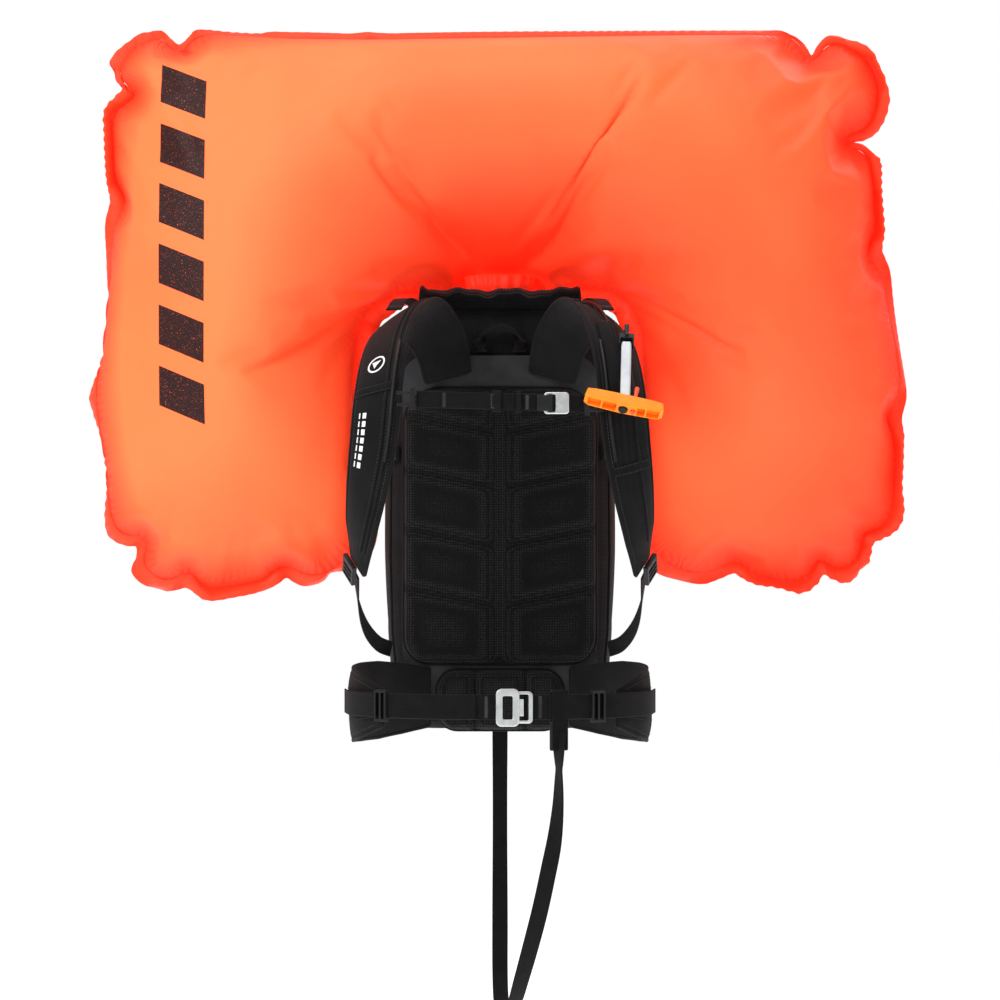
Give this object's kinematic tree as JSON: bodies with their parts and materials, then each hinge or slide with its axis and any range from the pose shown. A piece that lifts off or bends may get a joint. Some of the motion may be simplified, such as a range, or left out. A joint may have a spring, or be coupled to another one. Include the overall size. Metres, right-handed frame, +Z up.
{
  "type": "avalanche airbag backpack",
  "caption": "Black ski-touring backpack with its orange twin-lobed avalanche airbag inflated, straps in worn shape and the orange T-handle hanging out.",
  "frame": {"origin": "centre of the back pad's flat contact face, at the middle of the pack's height", "axes": "+Z up, -Y towards the wearer, +X to the wearer's left"},
  "size_m": [1.038, 0.5745, 1.254],
  "materials": {
    "airbag_fabric": "satin",
    "pack_fabric": "matte",
    "strap_fabric": "matte",
    "webbing": "satin",
    "black_plastic": "satin",
    "aluminium": "satin",
    "orange_plastic": "satin",
    "coral_plastic": "gloss",
    "grey_plastic": "satin",
    "steel": "satin",
    "cartridge_paint": "gloss"
  },
  "bodies": {
    "pack": {"pack_shell": "pack_fabric", "back_pad": "strap_fabric", "lumbar_pad": "strap_fabric", "frame_sheet": "black_plastic", "frame_stay": "aluminium", "grab_handle": "webbing", "burst_flap_rear": "pack_fabric", "burst_flap_front": "pack_fabric", "side_strap_left": "webbing", "side_strap_right": "webbing", "axe_loop": "webbing", "shoulder_strap_left": "strap_fabric", "shoulder_strap_right": "strap_fabric", "lower_web_left": "webbing", "lower_web_right": "webbing", "load_lifter_left": "webbing", "load_lifter_right": "webbing", "ladder_lock_left": "black_plastic", "ladder_lock_right": "black_plastic", "chest_rail_left": "black_plastic", "chest_rail_right": "black_plastic", "hip_fin_left": "strap_fabric", "hip_web_left": "webbing", "tri_glide_left": "black_plastic", "buckle_ring": "aluminium", "leg_loop": "webbing", "leg_strap": "webbing", "trigger_pocket": "strap_fabric", "trigger_socket": "black_plastic", "cable_housing": "black_plastic", "airbag_bar": "airbag_fabric", "airbag_lobe_left": "airbag_fabric", "airbag_lobe_right": "airbag_fabric", "inlet_collar": "black_plastic", "venturi_body": "aluminium", "intake_screen": "steel", "valve_block": "aluminium", "cartridge_band": "webbing", "firing_spring": "steel"},
    "rear_panel": {"front_panel": "pack_fabric"},
    "panel_slider": {"panel_zip_slider": "black_plastic"},
    "chest_strap": {"chest_web_left": "webbing", "chest_clip_left": "black_plastic", "chest_clip_right": "black_plastic", "chest_ring": "aluminium"},
    "chest_half": {"chest_web_right": "webbing", "chest_hook": "black_plastic"},
    "hip_wing": {"hip_fin_right": "strap_fabric", "hip_web_right": "webbing", "tri_glide_right": "black_plastic", "buckle_hook": "aluminium"},
    "trigger_arm": {"trigger_stem": "grey_plastic"},
    "trigger_handle": {"handle_bar": "orange_plastic", "cable_stop": "black_plastic", "release_cable": "steel"},
    "safety_pin": {"lock_pin": "coral_plastic"},
    "zip_pull": {"pocket_zip_pull": "black_plastic"},
    "deflator": {"deflate_button": "coral_plastic"},
    "gas_cartridge": {"cartridge": "cartridge_paint"},
    "pin": {"firing_pin": "steel"}
  },
  "joints": [
    {"name": "panel_hinge", "type": "hinge", "parent": "pack", "child": "rear_panel", "pos_m": [0, 0.1995, -0.1915], "axis": [-1, 0, 0], "range_deg": [0, 100]},
    {"name": "panel_zip", "type": "slide", "parent": "pack", "child": "panel_slider", "axis": [0, 0, 1], "range_m": [-0.11, 0.06]},
    {"name": "chest_height", "type": "slide", "parent": "pack", "child": "chest_strap", "axis": [0, 0.3499, 0.9368], "range_m": [-0.012, 0.012]},
    {"name": "chest_open", "type": "hinge", "parent": "chest_strap", "child": "chest_half", "pos_m": [-0.0999, -0.291, 0.15], "axis": [0, 0, -1], "range_deg": [0, 80]},
    {"name": "hip_open", "type": "hinge", "parent": "pack", "child": "hip_wing", "pos_m": [-0.104, 0.002, -0.22], "axis": [0, 0, -1], "range_deg": [0, 50]},
    {"name": "handle_swing", "type": "hinge", "parent": "pack", "child": "trigger_arm", "pos_m": [0.1518, -0.2488, 0.217], "axis": [-0.9992, 0.0258, 0.0306], "range_deg": [0, 60]},
    {"name": "handle_pull", "type": "slide", "parent": "trigger_arm", "child": "trigger_handle", "axis": [-0.04, -0.6451, -0.7631], "range_m": [0, 0.04], "stiffness_N_per_m": 200, "springref_m": -0.01},
    {"name": "lock_pin_slide", "type": "slide", "parent": "trigger_handle", "child": "safety_pin", "axis": [0.1593, 0.6373, 0.7539], "range_m": [0, 0.015]},
    {"name": "zip_pull_swing", "type": "hinge", "parent": "pack", "child": "zip_pull", "pos_m": [0.15276, -0.23897, 0.24009], "axis": [-0.9992, 0.0258, 0.0306], "range_deg": [0, 70]},
    {"name": "deflate_press", "type": "slide", "parent": "pack", "child": "deflator", "axis": [0, -1, 0], "range_m": [0, 0.003], "stiffness_N_per_m": 500, "springref_m": -0.002},
    {"name": "cartridge_turn", "type": "hinge", "parent": "pack", "child": "gas_cartridge", "pos_m": [0.088, 0.083, 0.05], "axis": [0, 0, 1], "continuous": true},
    {"name": "firing_stroke", "type": "slide", "parent": "pack", "child": "pin", "axis": [0, 0, -1], "range_m": [0, 0.008], "deforming": ["firing_spring"]}
  ],
  "couplings": [
    {"joint": "firing_stroke", "follows": "handle_pull", "ratio": 0.2}
  ]
}
